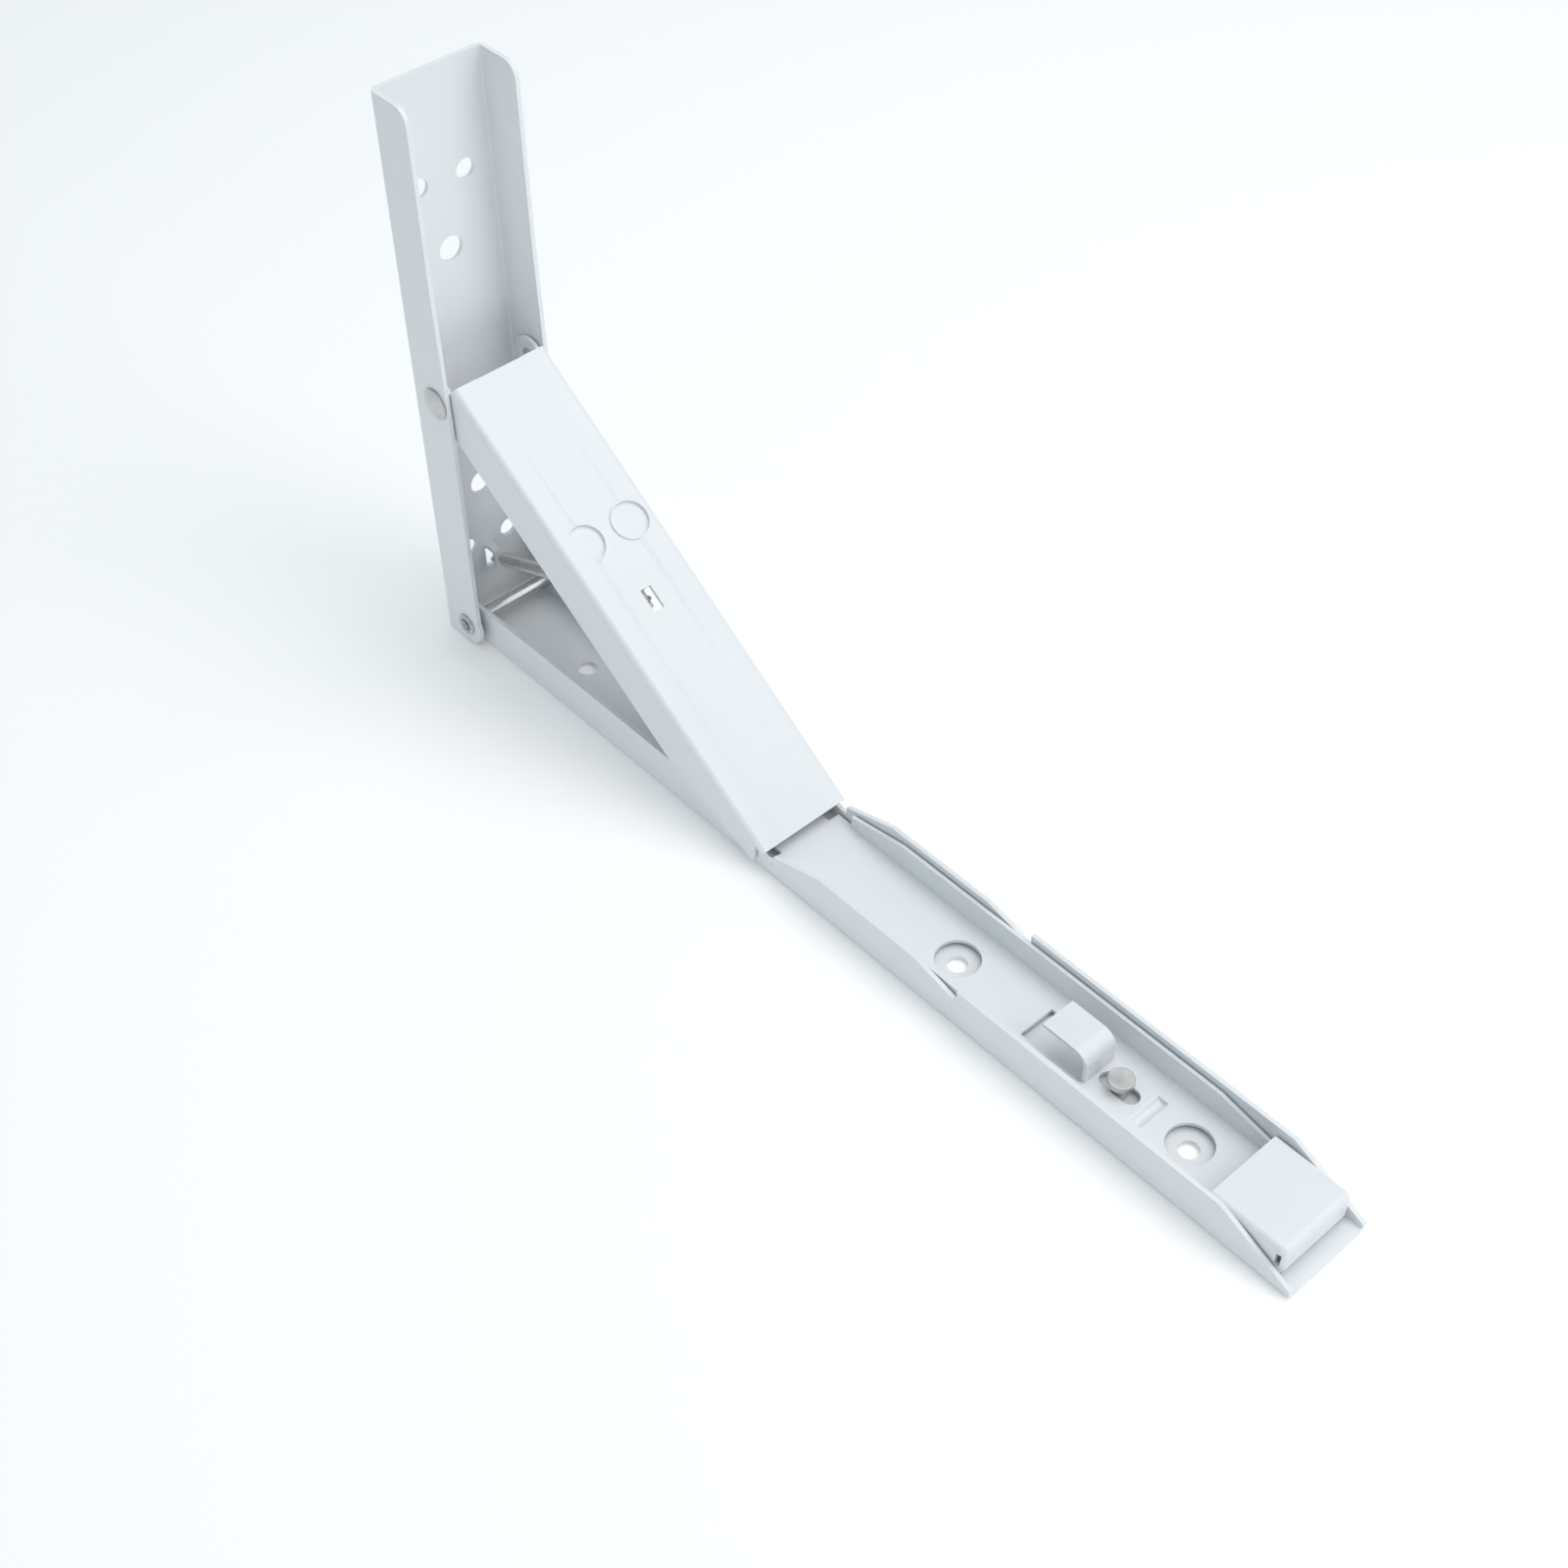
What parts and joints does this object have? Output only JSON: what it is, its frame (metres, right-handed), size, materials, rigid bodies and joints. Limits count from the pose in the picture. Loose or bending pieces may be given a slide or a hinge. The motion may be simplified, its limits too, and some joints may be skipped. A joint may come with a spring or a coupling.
{
  "type": "folding shelf bracket",
  "caption": "Triangular folding shelf bracket of pressed sheet steel, with a hinged wall plate, a stay and a release rail in the arm.",
  "frame": {"origin": "on the arm's shelf face, straight under the hinge pin's axis, midway between the flanges", "axes": "+X along the arm from the hinge to its free end, +Y across the bracket, +Z away from the shelf, down the wall when the bracket is fitted"},
  "size_m": [0.366, 0.0426, 0.202],
  "materials": {
    "white_coat": "satin powder coat",
    "bare_steel": "plated, slightly dull"
  },
  "bodies": {
    "arm": {"shelf_arm": "white_coat", "hinge_pin": "bare_steel", "rail_rivet": "bare_steel"},
    "wall_side": {"wall_plate": "white_coat", "brace_rivet_left": "bare_steel", "brace_rivet_right": "bare_steel", "brace_washer_left": "bare_steel", "brace_washer_right": "bare_steel"},
    "stay": {"brace": "white_coat"},
    "rail": {"release_rail": "white_coat"},
    "spring": {"tension_spring": "bare_steel"}
  },
  "joints": [
    {"name": "fold", "type": "hinge", "parent": "arm", "child": "wall_side", "pos_m": [0, 0, 0.0075], "axis": [0, 1, 0], "range_deg": [0, 90]},
    {"name": "brace_swing", "type": "hinge", "parent": "wall_side", "child": "stay", "pos_m": [0, 0, 0.0995], "axis": [0, 1, 0], "range_deg": [-125, 0], "deforming": ["tension_spring"]},
    {"name": "spring_swing", "type": "hinge", "parent": "wall_side", "child": "spring", "pos_m": [-0.0072, 0, 0.02117], "axis": [0, 1, 0], "range_deg": [-67, 0]},
    {"name": "rail_rock", "type": "hinge", "parent": "arm", "child": "rail", "pos_m": [0.29, 0, 0.00455], "axis": [0, 1, 0], "range_deg": [0, 1.2]}
  ],
  "couplings": [
    {"joint": "brace_swing", "follows": "fold", "ratio": -1.3889},
    {"joint": "spring_swing", "follows": "fold", "ratio": -0.744}
  ]
}
